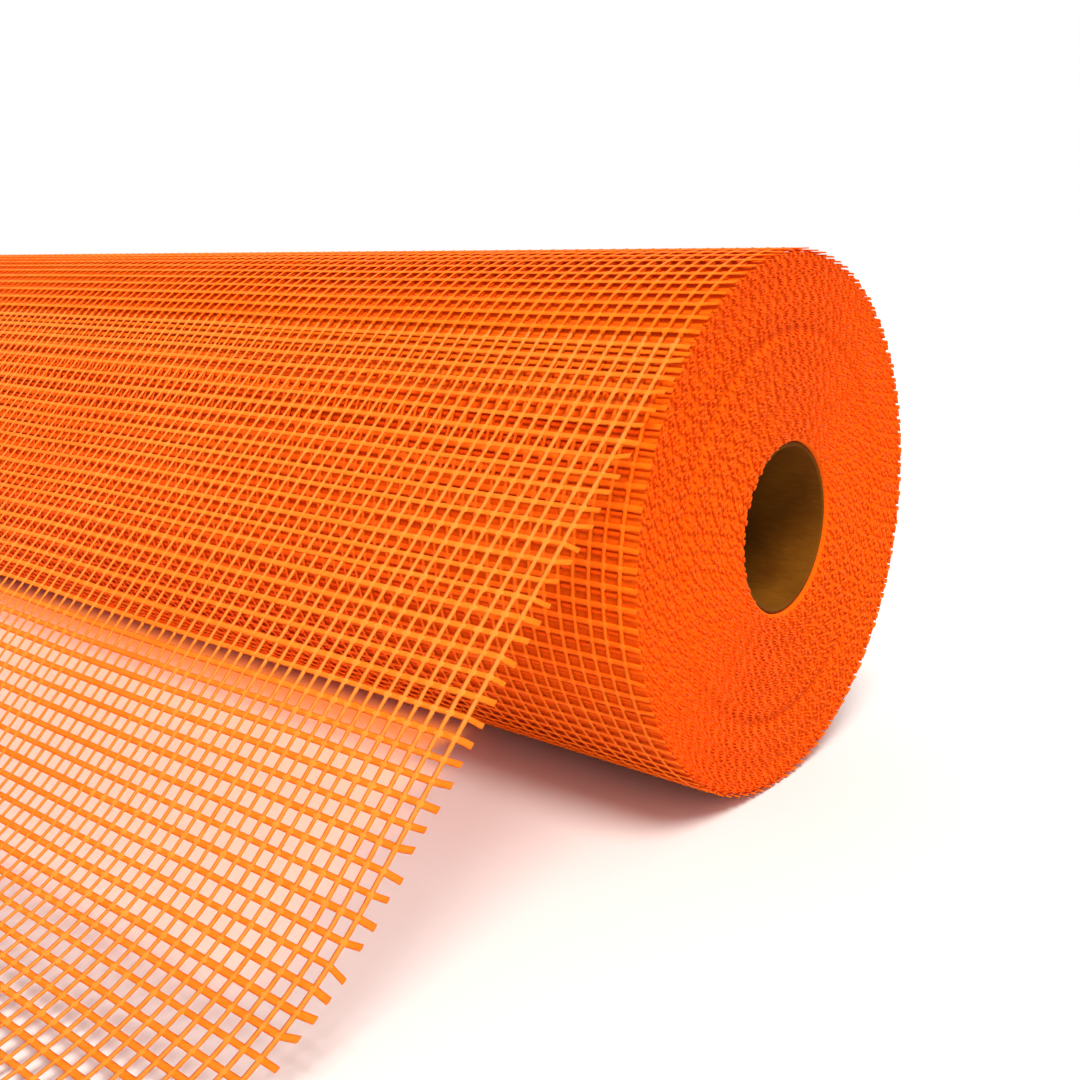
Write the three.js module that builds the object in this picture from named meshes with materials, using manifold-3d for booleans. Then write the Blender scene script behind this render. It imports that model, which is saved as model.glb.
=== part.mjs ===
// A roll of open fibreglass mesh, wound on a paper core and lying on the floor. The last stretch of the
// mesh has been pulled off the roll: it leaves the top at the front, slopes down and ends flat on the floor.
//
// Millimetres. X runs along the roll's axis, +Z is up, and the loose end comes off towards -Y.
// The origin is on the floor, in the middle of everything that the object covers.
import * as THREE from 'three';
import { mergeVertices } from 'three/addons/utils/BufferGeometryUtils.js';
import Module from 'manifold-3d';

const wasm = await Module();
wasm.setup();

// The web of mesh: its width across the roll, and its thickness over a crossing of two yarns.
const MESH_WIDTH = 1000;
const MESH_THICKNESS = 0.8;

// The roll and its paper core. The core is cut a little shorter than the mesh.
const ROLL_DIAMETER = 167;
const CORE_BORE = 50;
const CORE_WALL = 1.5;
const CORE_RECESS = 2;
const CORE_CLEARANCE = 0.3;

// The ends of the turns: bands of tightly wound turns that stand out, with a groove between two bands.
const TURN_BAND = 6;
const GROOVE_WIDTH = 1.6;
const GROOVE_DEPTH = 1.2;

// The loose end: where it leaves the roll, measured from +Y over the top, how softly it bends where it
// meets the floor, and how much of it lies flat there.
const LEAVING_ANGLE = 134;
const FLOOR_BEND_RADIUS = 110;
const FLAT_RUN = 100;

// The loose end's openings stand for its fine mesh: how many lie across the web, how far apart their rows
// are down the web, and how much of the web the yarns cover. Each is cut a little past both faces.
const OPENINGS_ACROSS = 12;
const ROW_PITCH = 27;
const COVERED_SHARE = 0.44;
const CUT_OVER = 0.5;

// Smoothness of round stretches.
const ROUND_SEGMENTS = 60;
const BEND_SEGMENTS = 9;

const rollRadius = ROLL_DIAMETER / 2;
const coreOuterRadius = CORE_BORE / 2 + CORE_WALL;
const windingInnerRadius = coreOuterRadius + CORE_CLEARANCE;
const meshEnd = MESH_WIDTH / 2;
const coreEnd = meshEnd - CORE_RECESS;
const leaving = THREE.MathUtils.degToRad(LEAVING_ANGLE);
const slope = leaving - Math.PI / 2;

// A solid of revolution about X from a closed profile of [radius, x] points. Its first seam lies at the
// angle where the mesh leaves the roll, so that the flat facets meet the loose end edge to edge.
function turned(profile) {
  const points = [...profile, profile[0]].map(([radius, x]) => new THREE.Vector2(radius, x));
  const solid = new THREE.LatheGeometry(points, ROUND_SEGMENTS);
  solid.rotateZ(-Math.PI / 2);
  solid.rotateX(slope);
  return solid;
}

// Points across one end of the winding, from its first turn out to its last: each band of turns ends
// in a V groove, and the last band keeps its outer corner.
function endOfTurns() {
  const build = rollRadius - windingInnerRadius;
  const bands = Math.max(1, Math.round(build / TURN_BAND));
  const pitch = build / bands;
  const groove = Math.min(GROOVE_WIDTH, pitch / 2);
  const points = [[windingInnerRadius, 0]];
  for (let band = 1; band < bands; band += 1) {
    const middle = windingInnerRadius + band * pitch;
    points.push([middle - groove / 2, 0], [middle, GROOVE_DEPTH], [middle + groove / 2, 0]);
  }
  points.push([rollRadius, 0]);
  return points;
}

function woundTurns() {
  const across = endOfTurns();
  const nearEnd = across.map(([radius, depth]) => [radius, depth - meshEnd]);
  const farEnd = across.map(([radius, depth]) => [radius, meshEnd - depth]).reverse();
  return turned([...nearEnd, ...farEnd]);
}

// The path of the loose end, seen along the roll in the plane of Y and Z: straight down the slope, round
// the bend and along the floor. The bend's centre stands above the floor by the under side's radius, and
// the slope is tangent to it.
const outwards = new THREE.Vector2(Math.cos(leaving), Math.sin(leaving));
const downhill = new THREE.Vector2(-Math.sin(leaving), Math.cos(leaving));
const bendUnder = FLOOR_BEND_RADIUS + MESH_THICKNESS;
const looseStart = new THREE.Vector2(0, rollRadius).addScaledVector(outwards, rollRadius);
const drop = looseStart.y - MESH_THICKNESS * outwards.y - bendUnder * (1 - Math.cos(slope));
const slopeLength = drop / Math.sin(slope);
const bendLength = FLOOR_BEND_RADIUS * slope;
const looseLength = slopeLength + bendLength + FLAT_RUN;
const bendCentre = looseStart.clone()
  .addScaledVector(downhill, slopeLength)
  .addScaledVector(outwards, FLOOR_BEND_RADIUS);

// The point of the loose end that lies a given run from the roll, and a given depth below its upper face.
function looseEndPoint(run, depth) {
  if (run <= slopeLength) {
    return looseStart.clone().addScaledVector(downhill, run).addScaledVector(outwards, -depth);
  }
  const turn = Math.max(0, slope - (run - slopeLength) / FLOOR_BEND_RADIUS);
  const flat = Math.max(0, run - slopeLength - bendLength);
  const radius = FLOOR_BEND_RADIUS + depth;
  return new THREE.Vector2(
    bendCentre.x + radius * Math.sin(turn) - flat,
    bendCentre.y - radius * Math.cos(turn),
  );
}

// The outline of the loose end between two runs, from the depth of its top to that of its bottom.
function stretchOutline(from, to, top, bottom) {
  const bendRuns = Array.from(
    { length: BEND_SEGMENTS + 1 },
    (_, step) => slopeLength + (bendLength * step) / BEND_SEGMENTS,
  );
  const runs = [from, ...bendRuns.filter((run) => run > from + 0.1 && run < to - 0.1), to];
  return [
    ...runs.map((run) => looseEndPoint(run, top)),
    ...runs.reverse().map((run) => looseEndPoint(run, bottom)),
  ];
}

// A stretch of that outline drawn out along the roll. The outline's own axes are Y and Z of the model.
function drawnOut(outline, width, middle) {
  const solid = new THREE.ExtrudeGeometry(new THREE.Shape(outline), { depth: width, bevelEnabled: false });
  solid.translate(0, -rollRadius, middle - width / 2);
  solid.applyMatrix4(new THREE.Matrix4().makeBasis(
    new THREE.Vector3(0, 1, 0),
    new THREE.Vector3(0, 0, 1),
    new THREE.Vector3(1, 0, 0),
  ));
  return toSolid(solid);
}

// The loose end as a plain grid. Each opening takes the middle of its cell: the slope and the flat run are
// each divided into whole rows, and the bend between them stays whole, so that it collides as one band.
function looseEnd() {
  const pitch = MESH_WIDTH / OPENINGS_ACROSS;
  const openShare = Math.sqrt(1 - COVERED_SHARE);
  let sheet = drawnOut(stretchOutline(0, looseLength, 0, MESH_THICKNESS), MESH_WIDTH, 0);
  for (const [start, length] of [[0, slopeLength], [slopeLength + bendLength, FLAT_RUN]]) {
    const rows = Math.max(1, Math.round(length / ROW_PITCH));
    for (let row = 0; row < rows; row += 1) {
      const middle = start + ((row + 0.5) * length) / rows;
      const reach = (openShare * length) / rows / 2;
      const outline = stretchOutline(middle - reach, middle + reach, -CUT_OVER, MESH_THICKNESS + CUT_OVER);
      for (let column = 0; column < OPENINGS_ACROSS; column += 1) {
        const along = (column + 0.5) * pitch - meshEnd;
        sheet = sheet.subtract(drawnOut(outline, openShare * pitch, along));
      }
    }
  }
  return sheet;
}

function toSolid(geometry) {
  const bare = geometry.clone();
  bare.deleteAttribute('normal');
  bare.deleteAttribute('uv');
  const merged = mergeVertices(bare, 1e-4);
  return new wasm.Manifold(new wasm.Mesh({
    numProp: 3,
    vertProperties: new Float32Array(merged.attributes.position.array),
    triVerts: new Uint32Array(merged.index.array),
  }));
}

function toGeometry(solid) {
  const mesh = solid.getMesh();
  const geometry = new THREE.BufferGeometry();
  geometry.setAttribute('position', new THREE.BufferAttribute(mesh.vertProperties, 3));
  geometry.setIndex(new THREE.BufferAttribute(mesh.triVerts, 1));
  geometry.computeVertexNormals();
  return geometry;
}

// The mesh is one length of web: the wound turns and the loose end are the same piece.
function meshWeb() {
  const material = new THREE.MeshStandardMaterial({ color: 0xff6a14, roughness: 0.55, metalness: 0 });
  const web = toSolid(woundTurns()).add(looseEnd());
  const mesh = new THREE.Mesh(toGeometry(web), material);
  mesh.name = 'mesh_web';
  return mesh;
}

function coreTube() {
  const material = new THREE.MeshStandardMaterial({ color: 0x8a5c33, roughness: 0.9, metalness: 0 });
  const mesh = new THREE.Mesh(turned([
    [CORE_BORE / 2, -coreEnd],
    [coreOuterRadius, -coreEnd],
    [coreOuterRadius, coreEnd],
    [CORE_BORE / 2, coreEnd],
  ]), material);
  mesh.name = 'core_tube';
  return mesh;
}

// Both pieces are drawn about the roll's axis. The object stands with its lowest point on the floor and
// its footprint centred: from the tip of the loose end to the roll's back.
const looseTip = looseEndPoint(looseLength, 0).x;
const roll = new THREE.Group();
roll.add(coreTube(), meshWeb());
roll.position.set(0, -(looseTip + rollRadius) / 2, rollRadius);

const model = new THREE.Group();
model.add(roll);

export default model;
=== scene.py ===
# %% [markdown]
# # A roll of fibreglass mesh
#
# The object is one long web of orange mesh, wound on a paper core. Its last stretch has been pulled
# off the roll and slopes down to the floor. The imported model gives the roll's size and place, and this
# script gives it its real surface: thousands of thin yarns, their crossings and their cut ends.
#
# Every shape below is worked out with numpy as whole arrays. A yarn is a thin tube along a path, and all
# the yarns of one kind are computed together.

# %% Load the frame
import math

import bpy
import numpy as np
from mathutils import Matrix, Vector


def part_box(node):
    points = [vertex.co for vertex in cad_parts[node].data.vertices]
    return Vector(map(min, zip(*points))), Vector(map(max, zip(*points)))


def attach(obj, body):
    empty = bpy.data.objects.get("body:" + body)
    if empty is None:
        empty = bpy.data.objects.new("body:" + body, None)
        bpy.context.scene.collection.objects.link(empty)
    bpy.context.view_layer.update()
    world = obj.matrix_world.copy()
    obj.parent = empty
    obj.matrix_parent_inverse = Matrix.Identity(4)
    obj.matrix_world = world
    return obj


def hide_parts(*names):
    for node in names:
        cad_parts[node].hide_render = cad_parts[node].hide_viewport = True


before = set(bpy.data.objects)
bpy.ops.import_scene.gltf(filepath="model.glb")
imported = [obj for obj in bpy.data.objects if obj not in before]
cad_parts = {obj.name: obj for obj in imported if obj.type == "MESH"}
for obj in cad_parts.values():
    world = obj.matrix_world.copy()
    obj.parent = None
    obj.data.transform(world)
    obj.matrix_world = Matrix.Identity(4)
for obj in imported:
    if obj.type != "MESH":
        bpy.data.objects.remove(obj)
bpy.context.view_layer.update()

# %% [markdown]
# ## Sizes
#
# The roll's radius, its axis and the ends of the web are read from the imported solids, so the yarns land
# where the solids are. The rest are real sizes of such a mesh: the spacing of the yarns, their width and
# thickness, and how far each turn lies inside the next one.

# %% Sizes
MM = 0.001

web_low, web_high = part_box("mesh_web")
core_low, core_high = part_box("core_tube")
AXIS_Y = (core_low.y + core_high.y) / 2
AXIS_Z = (core_low.z + core_high.z) / 2
ROLL_RADIUS = AXIS_Z
WEB_END = web_high.x
CORE_END = core_high.x
CORE_OUTER_RADIUS = (core_high.z - core_low.z) / 2
CORE_WALL = 1.5 * MM
CORE_CLEARANCE = 0.3 * MM

WEB_THICKNESS = 0.8 * MM
TURN_STEP = 0.39 * MM
LEAVING_ANGLE = math.radians(134)
SLOPE = LEAVING_ANGLE - math.pi / 2
FLOOR_BEND_RADIUS = 110 * MM

WARP_COUNT = 199
LAST_WARP_INSET = 5.6 * MM
WEFT_PITCH = 5.35 * MM
WARP_HALF_WIDTH, WARP_HALF_THICKNESS = 0.72 * MM, 0.20 * MM
WEFT_HALF_WIDTH, WEFT_HALF_THICKNESS = 0.84 * MM, 0.19 * MM
KNOT_HALF_WIDTH, KNOT_HALF_LENGTH, KNOT_HALF_THICKNESS = 1.35 * MM, 1.40 * MM, 0.33 * MM
STUB_SHOWING = 0.9 * MM

MIDDLE_RADIUS = ROLL_RADIUS - WEB_THICKNESS / 2
LAST_WARP = WEB_END - LAST_WARP_INSET
print(f"roll radius {ROLL_RADIUS / MM:.1f} mm, axis at y {AXIS_Y / MM:.1f} mm, web {2 * WEB_END:.3f} m wide")

# %% [markdown]
# ## Camera
#
# The view looks at the right end from the front. It was found by fitting a camera to the outline of the
# end, the bore and the two long edges of the roll. It is written as distances from the middle of the
# right end, in roll radii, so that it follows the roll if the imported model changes.

# %% Camera
VIEW_FROM = (1.98868, -3.92796, 0.94035)
VIEW_ALONG = (-0.61164553, 0.75926214, -0.22228527)
LENS_MM, SENSOR_MM = 40.32, 36
NEAREST, FARTHEST = 0.02, 60

camera_data = bpy.data.cameras.new("camera")
camera_data.lens, camera_data.sensor_width = LENS_MM, SENSOR_MM
camera_data.clip_start, camera_data.clip_end = NEAREST, FARTHEST
camera = bpy.data.objects.new("camera", camera_data)
bpy.context.collection.objects.link(camera)
camera.location = Vector((WEB_END, AXIS_Y, AXIS_Z)) + ROLL_RADIUS * Vector(VIEW_FROM)
camera.rotation_euler = Vector(VIEW_ALONG).to_track_quat("-Z", "Y").to_euler()
bpy.context.scene.camera = camera
print("camera at", [round(v, 4) for v in camera.location])

# %% [markdown]
# ## From arrays to a mesh
#
# Blender takes a mesh as three flat lists: the points, the corner of each face and where each face
# starts. `foreach_set` copies a numpy array into such a list at once, which is hundreds of times faster
# than adding faces one by one. The piece then rides on the body of the part that it belongs to.

# %% Mesh helper
def add_piece(name, points, faces, corners_uv=None, kinds=None, smooth=True):
    """Makes a mesh object. faces is a list of index arrays, each with one row for each face, and kinds
    says which of the piece's finishes each of these arrays gets."""
    mesh = bpy.data.meshes.new(name)
    loops = np.concatenate([part.ravel() for part in faces]).astype(np.int32)
    sizes = np.concatenate([np.full(len(part), part.shape[1]) for part in faces])
    starts = np.concatenate([[0], np.cumsum(sizes)[:-1]]).astype(np.int32)
    mesh.vertices.add(points.size // 3)
    mesh.vertices.foreach_set("co", points.astype(np.float32).ravel())
    mesh.loops.add(len(loops))
    mesh.loops.foreach_set("vertex_index", loops)
    mesh.polygons.add(len(starts))
    mesh.polygons.foreach_set("loop_start", starts)
    mesh.polygons.foreach_set("use_smooth", np.full(len(starts), smooth))
    if kinds is not None:
        finish_index = np.concatenate([np.full(len(part), kind) for part, kind in zip(faces, kinds)])
        mesh.polygons.foreach_set("material_index", finish_index.astype(np.int32))
    if corners_uv is not None:
        uv = np.concatenate([part.reshape(-1, 2) for part in corners_uv])
        layer = mesh.uv_layers.new(name="along_and_round")
        layer.data.foreach_set("uv", uv.astype(np.float32).ravel())
    mesh.update(calc_edges=True)
    piece = bpy.data.objects.new(name, mesh)
    bpy.context.collection.objects.link(piece)
    triangles = int((sizes - 2).sum())
    print(f"{name}: {triangles} triangles")
    return piece


# %% [markdown]
# ## The path of the web
#
# Seen along the roll, the web is a single line. Wound up it is a spiral, whose radius falls by one turn
# step each time round. Off the roll it runs straight down the slope, round a bend and along the floor. A
# place on the web needs only two numbers, then: how far it is along the web from the point where it
# leaves the roll, and how far it is along the roll. Both the yarns and their cut ends are placed with
# these two numbers.

# %% Path of the web
START_Y = AXIS_Y + MIDDLE_RADIUS * math.cos(LEAVING_ANGLE)
START_Z = AXIS_Z + MIDDLE_RADIUS * math.sin(LEAVING_ANGLE)
BEND_RADIUS = FLOOR_BEND_RADIUS + WEB_THICKNESS / 2
BEND_LENGTH = BEND_RADIUS * SLOPE
SLOPE_LENGTH = (START_Z - WEB_THICKNESS / 2 - BEND_RADIUS * (1 - math.cos(SLOPE))) / math.sin(SLOPE)
BEND_END_Y = START_Y - SLOPE_LENGTH * math.cos(SLOPE) - BEND_RADIUS * math.sin(SLOPE)
LOOSE_LENGTH = SLOPE_LENGTH + BEND_LENGTH + BEND_END_Y - web_low.y


def wound(back):
    """Radius and angle on the spiral, a length `back` before the leaving point.

    The radius falls evenly with the angle turned, so the length is R * angle - step * angle^2 / (4 pi).
    That is solved for the angle."""
    turned = (MIDDLE_RADIUS - np.sqrt(MIDDLE_RADIUS**2 - TURN_STEP * back / np.pi)) * 2 * np.pi / TURN_STEP
    return MIDDLE_RADIUS - TURN_STEP * turned / (2 * np.pi), LEAVING_ANGLE - turned


def web_line(run):
    """y, z and the outward direction's y, z at each run: negative on the roll, positive on the loose end."""
    radius, angle = wound(np.maximum(-run, 0))
    loose = np.maximum(run, 0)
    turn = SLOPE * (1 - np.clip((loose - SLOPE_LENGTH) / BEND_LENGTH, 0, 1))
    straight = np.minimum(loose, SLOPE_LENGTH)
    flat = np.maximum(loose - SLOPE_LENGTH - BEND_LENGTH, 0)
    loose_y = START_Y - straight * math.cos(SLOPE) - BEND_RADIUS * (math.sin(SLOPE) - np.sin(turn)) - flat
    loose_z = START_Z - straight * math.sin(SLOPE) - BEND_RADIUS * (np.cos(turn) - math.cos(SLOPE))
    on_roll = run < 0
    y = np.where(on_roll, AXIS_Y + radius * np.cos(angle), loose_y)
    z = np.where(on_roll, AXIS_Z + radius * np.sin(angle), loose_z)
    out_y = np.where(on_roll, np.cos(angle), -np.sin(turn))
    out_z = np.where(on_roll, np.sin(angle), np.cos(turn))
    return y, z, out_y, out_z


print(f"loose end {LOOSE_LENGTH / MM:.0f} mm long, of which {SLOPE_LENGTH / MM:.0f} mm slope straight down")

# %% [markdown]
# ## How the web wanders
#
# A real web isn't a perfect grid. Its yarns drift sideways by a few tenths of a millimetre, and a loose
# sheet has low waves. Both are sums of a few slow sine waves. The waves are shared by neighbouring yarns,
# so yarns stay apart, and on the floor the web's middle is only ever lifted.
#
# In each sine, x and run are divided by a length in metres. The wave is 2 pi times as long as that.

# %% Waves of the web
WAVES_GROWN_AT = 70 * MM
SLOPE_WAVE, FLOOR_WAVE = 0.9 * MM, 0.35 * MM
SECOND_WAVE = 0.6
LOWEST_WAVE = 1 + SECOND_WAVE
WIDE_DRIFT, NARROW_DRIFT = 0.35 * MM, 0.22 * MM


def lift(x, run):
    """Height of the web above its plain line. The waves grow from zero with the smooth step
    3 t^2 - 2 t^3, and on the floor they are raised by as much as they can fall."""
    t = np.clip(run / WAVES_GROWN_AT, 0, 1)
    grown = t**2 * (3 - 2 * t)
    wave = np.sin(x / 0.061 + 1.3) * np.sin(run / 0.037 + 0.4)
    wave = wave + SECOND_WAVE * np.sin(x / 0.027 + run / 0.041)
    on_floor = np.clip((run - SLOPE_LENGTH) / BEND_LENGTH, 0, 1)
    return grown * (SLOPE_WAVE * wave * (1 - on_floor) + FLOOR_WAVE * (wave + LOWEST_WAVE) * on_floor)


def drift(x, run):
    """Drift of the wefts along the web, the same for neighbours: two slow waves across the width."""
    wide = np.sin(x / 0.052 + run / 0.33)
    narrow = np.sin(x / 0.019 - run / 0.21 + 2.0)
    return WIDE_DRIFT * wide + NARROW_DRIFT * narrow


def place(x, run, above):
    """Points of the web at x along the roll and run along the web, `above` it on its outer side."""
    y, z, out_y, out_z = web_line(run)
    height = lift(x, run) + above
    return np.stack([x, y + out_y * height, z + out_z * height], -1)


def web_axes(run):
    """Unit vectors of the web at each run: along the roll, along the web and outwards."""
    _, _, out_y, out_z = web_line(run)
    zero = np.zeros_like(out_y)
    across, along = np.stack([zero + 1, zero, zero], -1), np.stack([zero, -out_z, out_y], -1)
    return across, along, np.stack([zero, out_y, out_z], -1)


print(f"the loose end's waves are up to {LOWEST_WAVE * SLOPE_WAVE / MM:.1f} mm high")

# %% [markdown]
# ## Yarns as tubes
#
# A yarn is a flat bundle of glass fibres in a plastic coat. Its section is a flat ellipse, sampled at
# four or six points, because tens of thousands of stretches are needed and each is only a millimetre
# wide. Smooth shading rounds it off. A curve object with a bevel would give the same shape, but slower,
# and it couldn't bend all yarns with one formula.

# %% Tubes along many paths
def yarn_tubes(centres, across, outward, half_width, half_thickness, sides):
    """Surface of all yarns at once. The point of yarn i, station j, side k is
    centre + across * half_width * cos(a) + outward * half_thickness * sin(a), with a = 2 pi k / sides.

    Each face also gets two coordinates: the distance along the yarn and the share of the way round."""
    around = 2 * np.pi * np.arange(sides) / sides
    width = np.broadcast_to(half_width, centres.shape[:2])[..., None, None]
    thickness = np.broadcast_to(half_thickness, centres.shape[:2])[..., None, None]
    ring = (
        width * np.cos(around)[:, None] * across[..., None, :]
        + thickness * np.sin(around)[:, None] * outward[..., None, :]
    )
    points = centres[:, :, None, :] + ring
    index = np.arange(points.size // 3).reshape(points.shape[:3])
    here, there = index[:, :-1], index[:, 1:]
    quads = np.stack([here, np.roll(here, -1, 2), np.roll(there, -1, 2), there], -1).reshape(-1, 4)
    caps = np.concatenate([index[:, 0, ::-1], index[:, -1]])
    steps = np.linalg.norm(np.diff(centres, axis=1), axis=2)
    run = np.concatenate([np.zeros((len(centres), 1)), np.cumsum(steps, 1)], 1)[..., None]
    share = np.broadcast_to(np.arange(sides) / sides, (*centres.shape[:2], sides))
    run = np.broadcast_to(run, share.shape)
    begin, end, side = run[:, :-1], run[:, 1:], share[:, :-1]
    next_side = side + 1 / sides
    corners = ((begin, side), (begin, next_side), (end, next_side), (end, side))
    uv = np.stack([np.stack(corner, -1) for corner in corners], -2).reshape(-1, 4, 2)
    along = centres[0, 1] - centres[0, 0]
    if np.dot(np.cross(across[0, 0], outward[0, 0]), along) < 0:
        quads, caps, uv = quads[:, ::-1], caps[:, ::-1], uv[:, ::-1]
    return points.reshape(-1, 3), quads, caps, uv


def joined(*parts):
    """One set of points, faces, face coordinates and kinds from several sets of tubes."""
    points, faces, uvs, kinds, first = [], [], [], [], 0
    for kind, (part_points, quads, caps, uv) in enumerate(parts):
        faces += [quads + first, caps + first]
        uvs += [uv, np.zeros((*caps.shape, 2))]
        kinds += [kind, kind]
        points.append(part_points)
        first += len(part_points)
    return np.concatenate(points), faces, uvs, kinds


# %% [markdown]
# ## Warps and wefts
#
# The warps run along the web, one every 5 mm, and go round and round the roll. The wefts run across it,
# one every 5.35 mm, and stick out about 5 mm beyond the last warp, where the web was cut. Here both are
# grids in the web's two numbers: x and run.

# %% Yarn grids
WARP_DRIFTS = ((0.13 * MM, 0.047), (0.08 * MM, 0.019))
WARP_WIDTHS, WEFT_WIDTHS, KNOT_SIZES = (0.9, 1.1), (0.88, 1.12), (0.85, 1.15)
WEFT_SCATTER = 0.07 * MM
STUB_BEND, LOOSE_STUB_BEND = 0.2 * MM, 0.6 * MM
CUT_SHORT = 1.6
WARP_SIDES, WEFT_SIDES, HIDDEN_SIDES = 4, 6, 4
YARN_SEED = 20

random = np.random.default_rng(YARN_SEED)
warp_places = np.linspace(-LAST_WARP, LAST_WARP, WARP_COUNT)
print(f"{WARP_COUNT} warps, {(warp_places[1] - warp_places[0]) / MM:.2f} mm apart")


def warps(runs, above):
    """Tubes along the web at every warp's x, with a station at each run. Each warp drifts by itself."""
    x = warp_places[:, None]
    phases = random.uniform(0, 2 * np.pi, (2, WARP_COUNT, 1))
    for (amount, length), phase in zip(WARP_DRIFTS, phases):
        x = x + amount * np.sin(runs / length + phase)
    run = np.broadcast_to(runs, x.shape)
    across, _, outward = web_axes(run)
    width = WARP_HALF_WIDTH * random.uniform(*WARP_WIDTHS, (WARP_COUNT, 1))
    return yarn_tubes(place(x, run, above), across, outward, width, WARP_HALF_THICKNESS, WARP_SIDES)


def wefts(runs, stations, above=0.0, stub_bend=STUB_BEND, sides=WEFT_SIDES):
    """Tubes across the web at every run. Their cut ends are bent a little, and each is up to
    CUT_SHORT times that bend shorter than the web."""
    count = len(runs)
    inner = np.linspace(-LAST_WARP, LAST_WARP, stations)
    tips = WEB_END - random.uniform(0.0, CUT_SHORT * stub_bend, (2, count, 1))
    x = np.concatenate([-tips[0], np.broadcast_to(inner, (count, stations)), tips[1]], 1)
    run = runs[:, None] + drift(x, runs[:, None]) + random.normal(0, WEFT_SCATTER, (count, 1))
    run[:, [0, -1]] += random.normal(0, stub_bend, (count, 2))
    droop = np.zeros_like(x)
    droop[:, [0, -1]] = random.normal(0, stub_bend / 2, (count, 2))
    _, along, outward = web_axes(run)
    width = WEFT_HALF_WIDTH * random.uniform(*WEFT_WIDTHS, (count, 1))
    centres = place(x, run, above + droop)
    return yarn_tubes(centres, -along, outward, width, WEFT_HALF_THICKNESS, sides)


def crossing_knots(runs, above):
    """A flat eight-sided bead at every crossing, where the pair of warp ends wraps round the weft.

    Its six points lie on three short axes: across the web, along it and through it. Each face takes
    one end of each axis, and the order of its corners makes it face outwards."""
    x, run = (grid.ravel() for grid in np.meshgrid(warp_places, runs))
    run = run + drift(x, run)
    centres = place(x, run, above)
    across, along, outward = web_axes(run)
    size = random.uniform(*KNOT_SIZES, (len(x), 1))
    axes = [
        KNOT_HALF_WIDTH * size * across,
        KNOT_HALF_LENGTH * size * along,
        KNOT_HALF_THICKNESS * outward,
    ]
    points = np.stack([centres + sign * axis for axis in axes for sign in (1, -1)], 1)
    pattern = [(a, b, c) if (a + b + c) % 2 else (a, c, b) for a in (0, 1) for b in (2, 3) for c in (4, 5)]
    faces = np.arange(len(x))[:, None, None] * points.shape[1] + np.array(pattern)
    return points.reshape(-1, 3), faces.reshape(-1, 3)


# %% [markdown]
# ## The outer turn and the one below it
#
# What shows of the roll is its outermost turn and, through its holes, the turns below. Two turns are
# modelled as yarns. They follow the spiral, so the lower one lies a little deeper, and its grid doesn't
# line up with the upper one, which gives the shimmering pattern that such rolls show.
#
# Each rise below is how far the middle of a yarn or bead lies outside the middle of the web.

# %% Outer turns
WARP_RISE, KNOT_RISE, LOOSE_KNOT_RISE = 0.08 * MM, 0.10 * MM, 0.08 * MM
SECOND_WARP_RISE, SECOND_WEFT_RISE = -0.10 * MM, -0.14 * MM
WEFT_STATIONS, SECOND_WEFT_STATIONS = 21, 5
TURN_OVERLAP = 2 * MM

TURN_LENGTH = 2 * math.pi * MIDDLE_RADIUS
wefts_a_turn = int(TURN_LENGTH / WEFT_PITCH)
turn_runs = -(np.arange(wefts_a_turn) + 0.5) * WEFT_PITCH
warp_runs = np.linspace(0, -TURN_LENGTH - TURN_OVERLAP, wefts_a_turn + 1)

outer_turn = add_piece(
    "outer_turn", *joined(warps(warp_runs, WARP_RISE), wefts(turn_runs, WEFT_STATIONS))
)
knot_points, knot_faces = crossing_knots(turn_runs, KNOT_RISE)
outer_knots = add_piece("outer_turn_knots", knot_points, [knot_faces], smooth=False)

second_runs = -TURN_LENGTH - (np.arange(wefts_a_turn) + 0.5) * WEFT_PITCH
second_warps = np.linspace(-TURN_LENGTH, -2 * TURN_LENGTH, wefts_a_turn // 2)
second_turn = add_piece(
    "second_turn",
    *joined(
        warps(second_warps, SECOND_WARP_RISE),
        wefts(second_runs, SECOND_WEFT_STATIONS, SECOND_WEFT_RISE, sides=HIDDEN_SIDES),
    ),
)

# %% [markdown]
# ## The loose end
#
# The stretch that has been pulled off is the same web in the open: one layer that light passes through.
# The area of its yarns alone, without the holes, is worked out here for later.

# %% Loose end
loose_count = int(LOOSE_LENGTH / WEFT_PITCH)
loose_runs = (np.arange(loose_count) + 0.5) * WEFT_PITCH
loose_warp_runs = np.linspace(0, LOOSE_LENGTH, loose_count + 1)
loose_end = add_piece(
    "loose_end",
    *joined(
        warps(loose_warp_runs, WARP_RISE),
        wefts(loose_runs, WEFT_STATIONS, stub_bend=LOOSE_STUB_BEND),
    ),
)
knot_points, knot_faces = crossing_knots(loose_runs, LOOSE_KNOT_RISE)
loose_knots = add_piece("loose_end_knots", knot_points, [knot_faces], smooth=False)

warp_area = WARP_COUNT * LOOSE_LENGTH * 2 * WARP_HALF_WIDTH
weft_area = loose_count * 2 * WEB_END * 2 * WEFT_HALF_WIDTH
yarn_area = warp_area + weft_area
print(f"the yarns' own area is {yarn_area / (LOOSE_LENGTH * 2 * WEB_END):.2f} of the loose end's")

# %% [markdown]
# ## The wound turns below
#
# Below the two modelled turns, the roll is so dense that only its colour and a fine relief can be seen.
# It is one turned body: a profile of radius and x, carried round the axis. Its ends lie behind the cut
# ends of the wefts, where the last warp of each turn forms a close spiral.

# %% Turned bodies
RING_DEPTH, RING_SPACING = 0.2 * MM, 1.9 * MM
SLIP_DEPTH, SLIP_WIDTH, SLIP_RADIUS = 1.1 * MM, 1.5 * MM, 0.72 * ROLL_RADIUS
BELOW_SECOND_TURN = 0.45 * MM
WINDING_RINGS, WINDING_SEGMENTS = 40, 144


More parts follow.
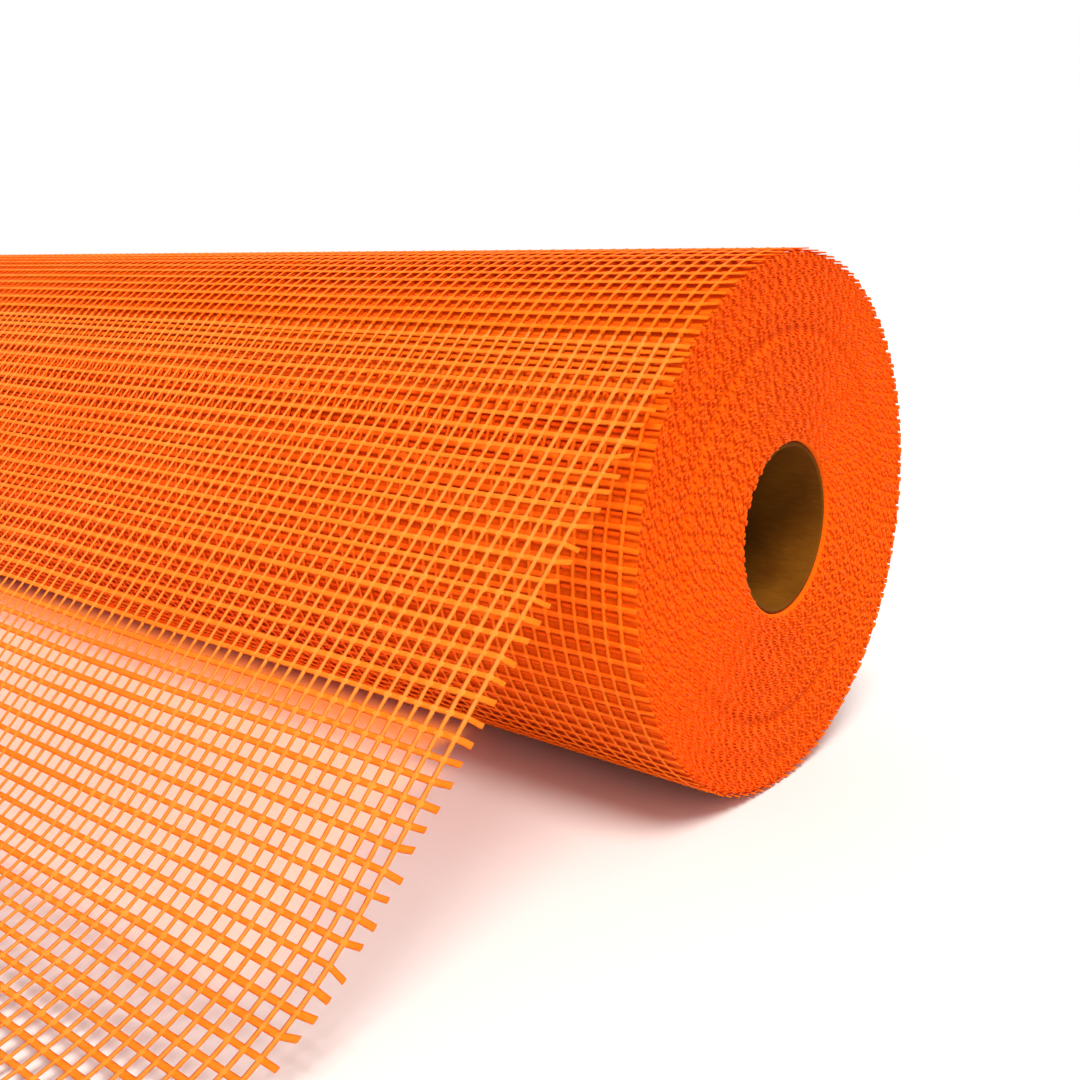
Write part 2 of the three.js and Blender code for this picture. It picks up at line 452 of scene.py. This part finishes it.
def turned(name, profile, segments):
    """A closed profile of (radius, x) rows, turned round the roll's axis:
    y = axis + radius * cos(a), z = axis + radius * sin(a)."""
    a = 2 * np.pi * np.arange(segments)[:, None] / segments
    radius, x = profile[:, 0], profile[:, 1]
    y, z = AXIS_Y + radius * np.cos(a), AXIS_Z + radius * np.sin(a)
    points = np.stack([np.broadcast_to(x, y.shape), y, z], -1)
    index = np.arange(segments * len(x)).reshape(segments, len(x))
    ahead, beside = np.roll(index, -1, 0), np.roll(index, -1, 1)
    quads = np.stack([index, ahead, np.roll(ahead, -1, 1), beside], -1).reshape(-1, 4)
    return add_piece(name, points.reshape(-1, 3), [quads])


def end_depth(radius):
    """How far the turns' cut ends lie inside the web's end: slow rings, and one groove where the
    winding slipped."""
    ring = RING_DEPTH * (1 + np.sin(radius / RING_SPACING))
    groove = SLIP_DEPTH * np.exp(-(((radius - SLIP_RADIUS) / SLIP_WIDTH) ** 2))
    return ring + groove


WINDING_INNER = CORE_OUTER_RADIUS + CORE_CLEARANCE
WINDING_OUTER = MIDDLE_RADIUS - 2 * TURN_STEP - BELOW_SECOND_TURN
rings = np.linspace(WINDING_INNER, WINDING_OUTER, WINDING_RINGS)
inset = WEB_END - STUB_SHOWING - end_depth(rings)
winding = turned(
    "winding",
    np.concatenate([np.stack([rings, -inset], 1), np.stack([rings[::-1], inset[::-1]], 1)]),
    WINDING_SEGMENTS,
)

# %% [markdown]
# ## The cut ends
#
# Each turn's wefts were cut through at the roll's ends, about 5 mm beyond the last warp. There are some
# nine thousand such stubs at each end, and they make the rough, dotted face of the roll. Their places
# follow from the spiral: one stub every 5.35 mm of web, from the outside to the core. Their own small
# differences are random, but the random numbers are seeded, so that they are the same each time.

# %% Cut ends
STUB_ROOT = 0.6 * MM
STUB_SCATTER, CUT_SCATTER, RADIUS_SCATTER, SPREAD = 0.12 * MM, 0.12 * MM, 0.04 * MM, 0.07 * MM
STUB_WIDTHS, STUB_SIDES = (0.85, 1.2), 4
RIGHT_SEED, LEFT_SEED = 31, 32


def cut_ends(name, side, seed):
    """Short tubes that end at the cut, at every weft of every turn below the outer two."""
    differ = np.random.default_rng(seed)
    wound_length = np.pi * (MIDDLE_RADIUS**2 - (WINDING_INNER + WEB_THICKNESS / 2) ** 2) / TURN_STEP
    back = np.arange(2 * wefts_a_turn, int(wound_length / WEFT_PITCH)) * WEFT_PITCH
    count = len(back)
    radius, angle = wound(back + differ.normal(0, STUB_SCATTER, count))
    radius = radius + differ.normal(0, RADIUS_SCATTER, count)
    base = WEB_END - STUB_SHOWING - end_depth(radius) - STUB_ROOT
    tip = WEB_END - end_depth(radius) - np.abs(differ.normal(0.0, CUT_SCATTER, count))
    bend = differ.normal(0, STUB_BEND, count) / radius
    spread = differ.normal(0, SPREAD, count)

    def station(x, turn, out):
        r, a = radius + out, angle + turn
        return np.stack([side * x, AXIS_Y + r * np.cos(a), AXIS_Z + r * np.sin(a)], -1)

    centres = np.stack([station(base, 0, 0), station(tip, bend, spread)], 1)
    flat = np.zeros_like(angle)
    outward = np.repeat(np.stack([flat, np.cos(angle), np.sin(angle)], -1)[:, None], 2, 1)
    across = np.repeat(np.stack([flat, np.sin(angle), -np.cos(angle)], -1)[:, None], 2, 1)
    width = WEFT_HALF_WIDTH * differ.uniform(*STUB_WIDTHS, (count, 1))
    stubs = yarn_tubes(centres, across, outward, width, WEFT_HALF_THICKNESS, STUB_SIDES)
    return add_piece(name, *joined(stubs))


right_stubs = cut_ends("cut_ends_right", 1, RIGHT_SEED)
left_stubs = cut_ends("cut_ends_left", -1, LEFT_SEED)

# %% [markdown]
# ## The paper core
#
# The core is a thin tube of brown board, wound from strips of paper. It is a turned profile too, with
# its two lips rounded a little, because paper frays where it is cut.

# %% Core
LIP, LIP_POINTS = 0.4 * MM, 5
CORE_SEGMENTS = 128
CORE_INNER_RADIUS = CORE_OUTER_RADIUS - CORE_WALL
lip_turn = np.linspace(0, np.pi, LIP_POINTS)
lip_middle = (CORE_INNER_RADIUS + CORE_OUTER_RADIUS) / 2
lip_radius = lip_middle + CORE_WALL / 2 * np.cos(lip_turn)
lip_reach = CORE_END - LIP + LIP * np.sin(lip_turn)
core_profile = np.concatenate(
    [np.stack([lip_radius[::-1], -lip_reach], 1), np.stack([lip_radius, lip_reach], 1)]
)
paper_core = turned("paper_core", core_profile, CORE_SEGMENTS)

# %% [markdown]
# ## Materials: formulas as nodes
#
# A node material is a formula. The small class below wraps a socket, so that `noise * 0.5 + 0.5` adds
# the Math nodes itself. Any other node comes from one method that takes the node's type, its settings
# and what feeds its sockets. Colours go through a Mix node, because a Math node would turn them grey.

# %% Socket arithmetic
class Value:
    """A socket in a formula: each operator adds one Math node to the finish that it belongs to."""

    def __init__(self, finish, socket):
        self.finish, self.socket = finish, socket

    def math(self, operation, first, second=0.0):
        return self.finish.node("ShaderNodeMath", {"operation": operation}, {0: first, 1: second})

    def __add__(self, other):
        return self.math("ADD", self, other)

    def __sub__(self, other):
        return self.math("SUBTRACT", self, other)

    def __mul__(self, other):
        return self.math("MULTIPLY", self, other)

    def __truediv__(self, other):
        return self.math("DIVIDE", self, other)

    def sine(self):
        return self.math("SINE", self)


class Finish:
    """A material under construction: its Principled shader, and nodes made on demand."""

    def __init__(self, name, **constants):
        self.material = bpy.data.materials.new(name)
        self.material.use_nodes = True
        self.tree = self.material.node_tree
        self.shader = self.tree.nodes["Principled BSDF"]
        self.set(**constants)

    def feed(self, socket, value):
        """Links a value to a socket, or sets the socket to a plain number, colour or vector."""
        if isinstance(value, Value):
            self.tree.links.new(value.socket, socket)
        else:
            socket.default_value = value

    def node(self, kind, settings=None, inputs=None, output=0):
        """Adds a node with its settings and inputs, and gives one of its outputs."""
        node = self.tree.nodes.new(kind)
        for key, value in (settings or {}).items():
            setattr(node, key, value)
        for key, value in (inputs or {}).items():
            self.feed(node.inputs[key], value)
        return Value(self, node.outputs[output])

    def places(self, scale=(1.0, 1.0, 1.0)):
        """Object coordinates, times scale."""
        spot = self.node("ShaderNodeTexCoord", output="Object")
        return self.node("ShaderNodeMapping", None, {"Vector": spot, "Scale": scale})

    def noise(self, scale, detail, stretch=(1.0, 1.0, 1.0)):
        """Noise from 0 to 1: scale is the number of blots in a metre."""
        inputs = {"Vector": self.places(stretch), "Scale": scale, "Detail": detail}
        return self.node("ShaderNodeTexNoise", None, inputs)

    def blend(self, factor, first, second):
        """A colour between two colours."""
        return self.node("ShaderNodeMix", {"data_type": "RGBA"}, {0: factor, 6: first, 7: second}, 2)

    def between(self, value, low, high):
        """value from low to high, stretched to 0 to 1 and held there."""
        inputs = {"Value": value, "From Min": low, "From Max": high}
        return self.node("ShaderNodeMapRange", None, inputs)

    def split(self, vector):
        """The three numbers of a vector, as separate values."""
        node = self.node("ShaderNodeSeparateXYZ", None, {0: vector}).socket.node
        return [Value(self, output) for output in node.outputs]

    def bump(self, height, distance, strength):
        """A normal from a height: distance is how far the surface rises as the height goes from 0 to 1."""
        inputs = {"Height": height, "Distance": distance, "Strength": strength}
        return self.node("ShaderNodeBump", None, inputs)

    def set(self, **sockets):
        """Feeds the shader's own sockets. A space in a socket's name is written as an underscore."""
        for socket, value in sockets.items():
            self.feed(self.shader.inputs[socket.replace("_", " ")], value)
        return self.material


# %% [markdown]
# ## Colours
#
# Colours are written here as they show on a screen, from 0 to 255. Nodes count light instead, where half
# of 255 is only about a fifth of the light. The formula below is the standard one between the two.

# %% Colours
def colour(red, green, blue):
    """A colour given as it shows on a screen, 0 to 255, as Blender's linear values."""
    shown = np.array([red, green, blue]) / 255
    linear = np.where(shown > 0.04045, ((shown + 0.055) / 1.055) ** 2.4, shown / 12.92)
    return (*linear.tolist(), 1.0)


print("a middle grey of 128 is", round(colour(128, 128, 128)[0], 3), "of the light")

# %% [markdown]
# ## The coated yarn
#
# The coat is a bright orange plastic over glass fibres. It is nearly matt, thicker in some places than
# in others, and the twist of the fibres shows through it as fine slanting ridges. The ridges follow the
# yarn, so they read the face coordinates: distance along the yarn and share of the way round it.
#
# Each row below is one copy of the same orange coat: its lighter and its deeper orange, and whether the
# twist shows. The copies differ by painted light and shade.

# %% Yarn finish
COAT_SHINE = 0.04
COAT_SMOOTHEST, COAT_ROUGHER = 0.37, 0.16
BLOTS_A_METRE, CLOUDS_A_METRE = 260.0, 9.0
BLOT_RANGE, CLOUD_RANGE, BLOT_SHARE = (0.35, 0.68), (0.35, 0.65), 0.6
TWIST_LENGTH, TWIST_RELIEF, BEAD_RELIEF = 3.2 * MM, 0.09 * MM, 0.12 * MM
COATS = (
    # Outer turn and its crossings: painted light, lighter than the turn below and the cut ends, as the thin
    # top yarns and the raised crossings catch more light.
    ("coated_warp_painted_light", (255, 120, 24), (251, 103, 10), True),
    ("coated_weft_painted_light", (255, 116, 18), (250, 98, 6), True),
    ("coated_crossing_painted_light", (255, 128, 30), (252, 110, 14), False),
    # Loose end: painted light, paler than the outer turn, as light that shows through its thin yarns.
    ("single_warp_painted_light", (255, 140, 60), (252, 124, 40), True),
    ("single_weft_painted_light", (250, 122, 32), (241, 108, 18), True),
    ("single_crossing_painted_light", (255, 142, 54), (252, 125, 38), False),
    # Turn below the outer one: painted shade, deeper than the outer turn, as it lies in the outer turn's
    # shade.
    ("coated_yarn_below_painted_shade", (252, 98, 10), (246, 84, 4), True),
    ("coated_cut_ends", (252, 98, 12), (248, 84, 4), True),
)


def yarn_finish(name, light, deep, twist):
    """Blots of two oranges, and the twist as a bump: sin(2 pi (round * 2 + along / twist length))."""
    finish = Finish(name, Specular_IOR_Level=COAT_SHINE)
    blots = finish.between(finish.noise(BLOTS_A_METRE, 3.0), *BLOT_RANGE)
    clouds = finish.between(finish.noise(CLOUDS_A_METRE, 2.0), *CLOUD_RANGE)
    shade = blots * BLOT_SHARE + clouds * (1 - BLOT_SHARE)
    material = finish.set(
        Base_Color=finish.blend(shade, colour(*light), colour(*deep)),
        Roughness=blots * COAT_ROUGHER + COAT_SMOOTHEST,
    )
    if twist:
        along, around, _ = finish.split(finish.node("ShaderNodeUVMap", {"uv_map": "along_and_round"}))
        ridges = ((around * 2 + along / TWIST_LENGTH) * (2 * math.pi)).sine()
        finish.set(Normal=finish.bump(ridges * 0.5 + blots, TWIST_RELIEF, 0.5))
    else:
        finish.set(Normal=finish.bump(blots, BEAD_RELIEF, 0.4))
    return material


coats = {name: yarn_finish(name, *look) for name, *look in COATS}
print("coats:", ", ".join(coats))

# %% [markdown]
# ## The dense winding
#
# Deeper turns get little light, so their colour is painted deeper than the outer turn's: painted shade.
# Their yarns run round the roll and along it, which a bump from two sine waves gives: one of x and one of
# the angle round the axis. On the end faces the same body shows the close spiral of the last warps, which is
# a sine wave of the radius.

# %% Winding finish
WARP_SPACING = 5 * MM
WINDING_RELIEF, RELIEF_RANGE = 0.4 * MM, (-1.0, 1.2)
WOBBLES_A_METRE, FLECKS_A_METRE = 60.0, 420.0
WEFT_WOBBLE, SPIRAL_SHARE = 9.0, 0.35
WINDING_DEEP, WINDING_LIGHT = (244, 82, 3), (255, 108, 10)


def winding_finish():
    """Orange with a grid relief. The angle and the radius come from Y and Z about the axis."""
    finish = Finish("wound_turns", Roughness=0.6, Specular_IOR_Level=COAT_SHINE)
    x, y, z = finish.split(finish.places())
    y, z = y - AXIS_Y, z - AXIS_Z
    angle = y.math("ARCTAN2", z, y)
    radius = y.math("SQRT", y * y + z * z)
    wobble = finish.noise(WOBBLES_A_METRE, 2.0)
    wefts_round = round(2 * math.pi * WINDING_OUTER / WEFT_PITCH)
    warp_lines = ((x / WARP_SPACING + wobble) * (2 * math.pi)).sine()
    weft_lines = (angle * wefts_round + wobble * WEFT_WOBBLE).sine()
    spiral = ((radius / (2 * TURN_STEP) + wobble) * (2 * math.pi)).sine()
    grid = warp_lines * 0.5 + weft_lines * 0.5
    relief = finish.between(grid + spiral * SPIRAL_SHARE, *RELIEF_RANGE)
    # The colour follows the relief, half and half with random flecks: painted shade in the grooves between
    # the yarns and painted light on their ridges.
    shade = relief * 0.5 + finish.noise(FLECKS_A_METRE, 3.0) * 0.5
    return finish.set(
        Base_Color=finish.blend(shade, colour(*WINDING_DEEP), colour(*WINDING_LIGHT)),
        Normal=finish.bump(relief, WINDING_RELIEF, 0.4),
    )


wound_coat = winding_finish()
print("coat of the deeper turns:", wound_coat.name)

# %% [markdown]
# ## The board of the core
#
# Brown paper in long spiral strips: a fine grain along the strip, soft stains, and a narrow seam where
# two strips meet, which climbs the tube like a screw thread.

# %% Board finish
STRIP_LEAD = 85 * MM
SEAM_EDGE, STAIN_RANGE = 0.985, (0.35, 0.7)
BOARD_RELIEF = 0.2 * MM
GRAINS_A_METRE, STAINS_A_METRE = 900.0, 38.0
GRAIN_STRETCH = (0.25, 1.0, 1.0)
PAPER_LIGHT, PAPER_DEEP, SEAM_BROWN = (124, 76, 18), (74, 34, 4), (66, 42, 22)


def board_finish():
    """Brown paper. The seam is the narrow band where the sine of the screw thread comes close to 1."""
    finish = Finish("core_board", Roughness=0.85, Specular_IOR_Level=0.05)
    x, y, z = finish.split(finish.places())
    angle = y.math("ARCTAN2", z - AXIS_Z, y - AXIS_Y)
    thread = (x / STRIP_LEAD + angle / (2 * math.pi)) * (2 * math.pi)
    seam = finish.between(thread.sine(), SEAM_EDGE, 1.0)
    grain = finish.noise(GRAINS_A_METRE, 3.0, GRAIN_STRETCH)
    stains = finish.between(finish.noise(STAINS_A_METRE, 3.0), *STAIN_RANGE)
    paper = finish.blend(grain * 0.5 + stains * 0.5, colour(*PAPER_LIGHT), colour(*PAPER_DEEP))
    return finish.set(
        Base_Color=finish.blend(seam, paper, colour(*SEAM_BROWN)),
        Normal=finish.bump(grain - seam, BOARD_RELIEF, 0.5),
    )


core_board = board_finish()
print("core:", core_board.name)

# %% [markdown]
# ## Which piece is what
#
# Each piece gets its finish, rides on the part's one body and stands for the CAD solid whose place it
# takes.

# %% Pieces to the frame
WEB_PIECES = (
    (outer_turn, coats["coated_warp_painted_light"], coats["coated_weft_painted_light"]),
    (outer_knots, coats["coated_crossing_painted_light"]),
    (second_turn, coats["coated_yarn_below_painted_shade"], coats["coated_yarn_below_painted_shade"]),
    (loose_end, coats["single_warp_painted_light"], coats["single_weft_painted_light"]),
    (loose_knots, coats["single_crossing_painted_light"]),
    (winding, wound_coat),
    (right_stubs, coats["coated_cut_ends"]),
    (left_stubs, coats["coated_cut_ends"]),
)
for piece, *finishes in WEB_PIECES:
    for finish in finishes:
        piece.data.materials.append(finish)
    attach(piece, "root")
    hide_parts("mesh_web")

paper_core.data.materials.append(core_board)
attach(paper_core, "root")
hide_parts("core_tube")
print(len(WEB_PIECES), "pieces stand for the web and one for the core")

# %% [markdown]
# ## Floor
#
# A plain white floor without any shine. It is a stage: it is there for the picture and isn't part of the
# object.

# %% Floor
FLOOR_WHITE = 0.76
FLOOR_REACH = 30.0

white_floor = Finish("white_floor", Roughness=0.9, Specular_IOR_Level=0.0)
floor_corners = FLOOR_REACH * np.array([(-1, -1, 0), (1, -1, 0), (1, 1, 0), (-1, 1, 0)])
floor = add_piece("floor", floor_corners, [np.array([[0, 1, 2, 3]])], smooth=False)
floor.data.materials.append(white_floor.set(Base_Color=(FLOOR_WHITE, FLOOR_WHITE, FLOOR_WHITE, 1.0)))

# %% [markdown]
# ## The loose end's size
#
# The loose end hangs and bends like cloth. Printed here are how large it is when it lies flat and the
# area of its yarns without the holes.

# %% Sheet
print(f"sheet {2 * WEB_END:.3f} m by {LOOSE_LENGTH:.3f} m, its yarns {yarn_area:.3f} square metres")

# %% [markdown]
# ## Lights
#
# One soft, slightly warm sun stands high up at the front and right.
#
# Much of the orange glow under the loose end comes by itself, as light that the yarns throw onto the
# floor. A real coat also lets light through, which solid tubes can't do. A few faint orange lamps below
# the slope, which shine only down, stand for that light.

# %% Lights
SUN_FROM = (0.34, -0.36, 0.87)
SUN_ENERGY, SUN_ANGLE, SUN_COLOUR = 3.1, math.radians(24), (1.0, 0.95, 0.87)

# The light through the mesh: strips side by side, each drawn in further than the one before, so that
# none of it falls beside the loose end. Each row gives the strip's middle y, its height and its energy.
GLOW_STRIPS = ((-32, 12, 0.040), (-2, 12, 0.044), (28, 12, 0.048), (58, 12, 0.056), (91, 7, 0.060))
GLOW_COLOUR, GLOW_SPREAD = (1.0, 0.27, 0.01), math.radians(100)
STRIP_WIDTH, DRAWN_IN, DRAWN_IN_FROM = 30 * MM, 0.52, 0.105


def add_light(name, kind, energy, location, **settings):
    """A lamp that isn't seen itself. It shines along its own -Z."""
    data = bpy.data.lights.new(name, kind)
    data.energy = energy
    for key, value in settings.items():
        setattr(data, key, value)
    lamp = bpy.data.objects.new(name, data)
    bpy.context.collection.objects.link(lamp)
    lamp.location = location
    lamp.visible_camera = lamp.visible_glossy = False
    return lamp


sun = add_light("sun", "SUN", SUN_ENERGY, SUN_FROM, angle=SUN_ANGLE, color=SUN_COLOUR)
sun.rotation_euler = Vector(SUN_FROM).to_track_quat("Z", "Y").to_euler()

for number, (middle, height, energy) in enumerate(GLOW_STRIPS):
    strip = add_light(
        f"light_through_mesh_{number}", "AREA", energy, (0.0, middle * MM, height * MM),
        shape="RECTANGLE", color=GLOW_COLOUR, spread=GLOW_SPREAD,
    )
    strip.data.size = 2 * (LAST_WARP - DRAWN_IN * (middle * MM + DRAWN_IN_FROM))
    strip.data.size_y = STRIP_WIDTH
print("one sun and", len(GLOW_STRIPS), "faint lamps below the mesh")

# %% [markdown]
# ## Sky
#
# The sky is plain white and lights everything softly. The camera sees it a little brighter than the light
# that it gives, so that the background is white: the Light Path node tells the two apart.

# %% Sky
SKY_LIGHT, SKY_SEEN = 0.76, 1.0

sky = bpy.data.worlds.new("white_sky")
sky.use_nodes = True
background = sky.node_tree.nodes["Background"]
background.inputs["Color"].default_value = (1, 1, 1, 1)
light_path = sky.node_tree.nodes.new("ShaderNodeLightPath")
strength = sky.node_tree.nodes.new("ShaderNodeMapRange")
strength.inputs["To Min"].default_value = SKY_LIGHT
strength.inputs["To Max"].default_value = SKY_SEEN
sky.node_tree.links.new(light_path.outputs["Is Camera Ray"], strength.inputs["Value"])
sky.node_tree.links.new(strength.outputs["Result"], background.inputs["Strength"])
bpy.context.scene.world = sky
bpy.context.scene.view_settings.view_transform = "Standard"
print("sky:", SKY_LIGHT, "as light,", SKY_SEEN, "as seen")
